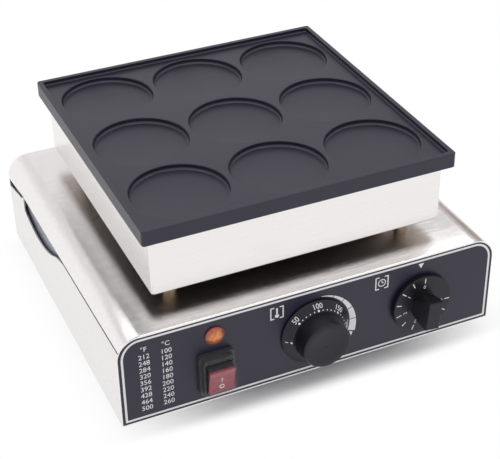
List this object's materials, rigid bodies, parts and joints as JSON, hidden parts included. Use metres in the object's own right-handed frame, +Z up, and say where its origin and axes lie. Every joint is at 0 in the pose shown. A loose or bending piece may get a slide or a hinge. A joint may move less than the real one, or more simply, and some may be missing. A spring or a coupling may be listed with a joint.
{
  "type": "mini pancake maker",
  "caption": "Countertop pancake griddle: a square coated plate of round cups on a stainless heater box, raised on posts above a base with thermostat, timer and switch.",
  "frame": {"origin": "on the table under the middle of the base, which is also the middle of the whole box, level with the undersides of the feet", "axes": "+Z up, +Y from the control panel towards the rear, +X to the right seen from the front"},
  "size_m": [0.31, 0.3282, 0.161],
  "materials": {
    "stainless": "brushed stainless sheet",
    "zinc_steel": "zinc-plated steel",
    "element_sheath": "oxidised stainless tube",
    "coated_casting": "cast aluminium with a satin black non-stick coating",
    "panel_film": "printed polyester film",
    "foot_rubber": "moulded black rubber",
    "black_plastic": "moulded satin black plastic",
    "red_plastic": "translucent red plastic with white marks",
    "clear_silicone": "clear moulded silicone",
    "amber_lens": "translucent amber plastic",
    "fibre_board": "pressed ceramic fibre board",
    "pale_ceramic": "pale heat-proof moulding",
    "brass": "bare brass",
    "copper_tube": "bare copper capillary",
    "glass_braid": "glass-fibre braided heater lead",
    "wire_jacket": "silicone wire jacket"
  },
  "bodies": {
    "housing": {"top_cover": "stainless", "base_tray": "stainless", "front_panel": "stainless", "rear_panel": "stainless", "heater_skirt": "stainless", "heater_floor": "stainless", "rear_screws": "zinc_steel", "foot_screws": "zinc_steel", "foot_nuts": "zinc_steel", "support_posts": "zinc_steel", "post_bolts": "zinc_steel", "post_washers": "zinc_steel", "post_nuts": "zinc_steel", "element_clamps": "zinc_steel", "clamp_studs": "zinc_steel", "clamp_nuts": "zinc_steel", "thermostat_bulb": "zinc_steel", "bulb_clip": "zinc_steel", "thermostat_screws": "zinc_steel", "timer_screws": "zinc_steel", "timer_body": "zinc_steel", "lamp_nut": "zinc_steel", "lead_conduit": "zinc_steel", "conduit_nuts": "zinc_steel", "heat_reflector": "zinc_steel", "terminal_screws": "zinc_steel", "heating_element": "element_sheath", "cooking_plate": "coated_casting", "panel_overlay": "panel_film", "rubber_feet": "foot_rubber", "switch_housing": "black_plastic", "lamp_body": "black_plastic", "cord_gland": "black_plastic", "gland_locknut": "black_plastic", "switch_boot": "clear_silicone", "lamp_lens": "amber_lens", "insulation_board": "fibre_board", "thermostat_body": "pale_ceramic", "terminal_block": "pale_ceramic", "switch_tabs": "brass", "earth_stud": "brass", "earth_nut": "brass", "capillary_tube": "copper_tube", "heater_leads": "glass_braid", "supply_wires": "wire_jacket", "control_wires": "wire_jacket", "lamp_wires": "wire_jacket", "earth_wire": "wire_jacket"},
    "thermostat_dial": {"thermostat_knob": "black_plastic", "thermostat_shaft": "zinc_steel"},
    "timer_dial": {"timer_knob": "black_plastic", "timer_shaft": "zinc_steel"},
    "rocker": {"switch_rocker": "black_plastic", "rocker_cap": "red_plastic"}
  },
  "joints": [
    {"name": "thermostat_turn", "type": "hinge", "parent": "housing", "child": "thermostat_dial", "pos_m": [0, -0.1414, 0.0475], "axis": [0, 1, 0], "range_deg": [-182, 91]},
    {"name": "timer_turn", "type": "hinge", "parent": "housing", "child": "timer_dial", "pos_m": [0.091, -0.1414, 0.0457], "axis": [0, 1, 0], "range_deg": [0, 270]},
    {"name": "rocker_tip", "type": "hinge", "parent": "housing", "child": "rocker", "pos_m": [-0.081, -0.1466, 0.0375], "axis": [-1, 0, 0], "range_deg": [0, 18]}
  ]
}
